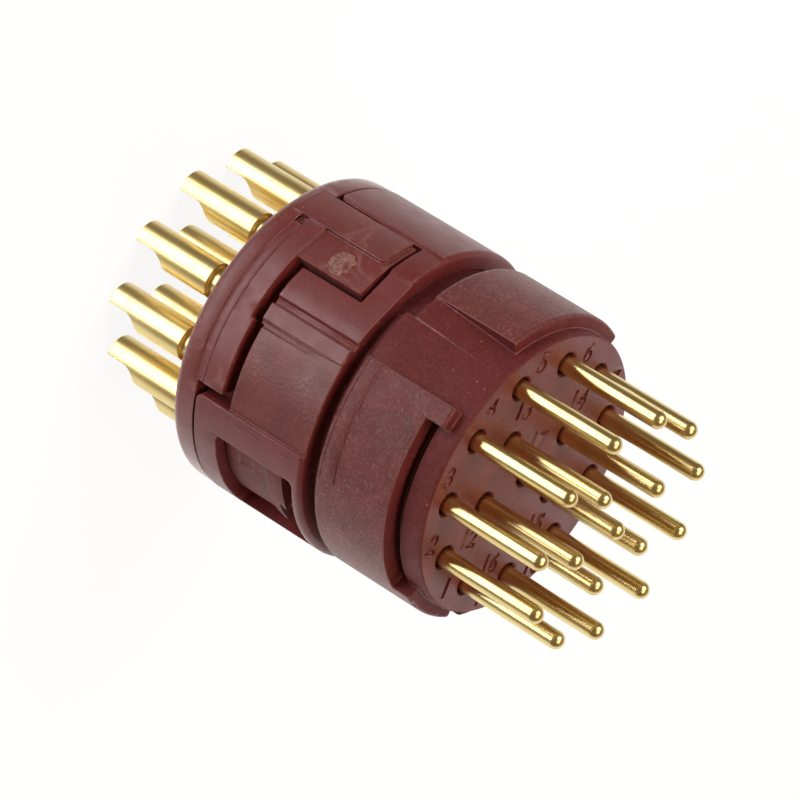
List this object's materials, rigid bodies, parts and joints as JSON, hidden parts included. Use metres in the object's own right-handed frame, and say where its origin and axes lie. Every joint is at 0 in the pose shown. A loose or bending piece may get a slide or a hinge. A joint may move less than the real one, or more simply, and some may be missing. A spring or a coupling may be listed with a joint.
{
  "type": "circular connector",
  "caption": "Round keyed connector insert with round-nosed male pins at the front and open solder cups at the rear, held in stacked moulded insulators.",
  "frame": {"origin": "on the connector axis, at the open ends of the solder cups", "axes": "+Z along the connector axis towards the pin tips, +X through the contact numbered one"},
  "size_m": [0.018, 0.0178, 0.0295],
  "materials": {
    "gold_plating": "turned copper alloy with bright gold plating",
    "insulator": "moulded glass-filled thermoplastic, maroon, matte"
  },
  "bodies": {
    "root": {"contact_1": "gold_plating", "contact_2": "gold_plating", "contact_3": "gold_plating", "contact_4": "gold_plating", "contact_5": "gold_plating", "contact_6": "gold_plating", "contact_7": "gold_plating", "contact_8": "gold_plating", "contact_9": "gold_plating", "contact_10": "gold_plating", "contact_11": "gold_plating", "contact_12": "gold_plating", "contact_13": "gold_plating", "contact_14": "gold_plating", "contact_15": "gold_plating", "contact_16": "gold_plating", "contact_17": "gold_plating", "front_insulator": "insulator", "middle_sleeve": "insulator", "rear_cap": "insulator"}
  },
  "joints": []
}
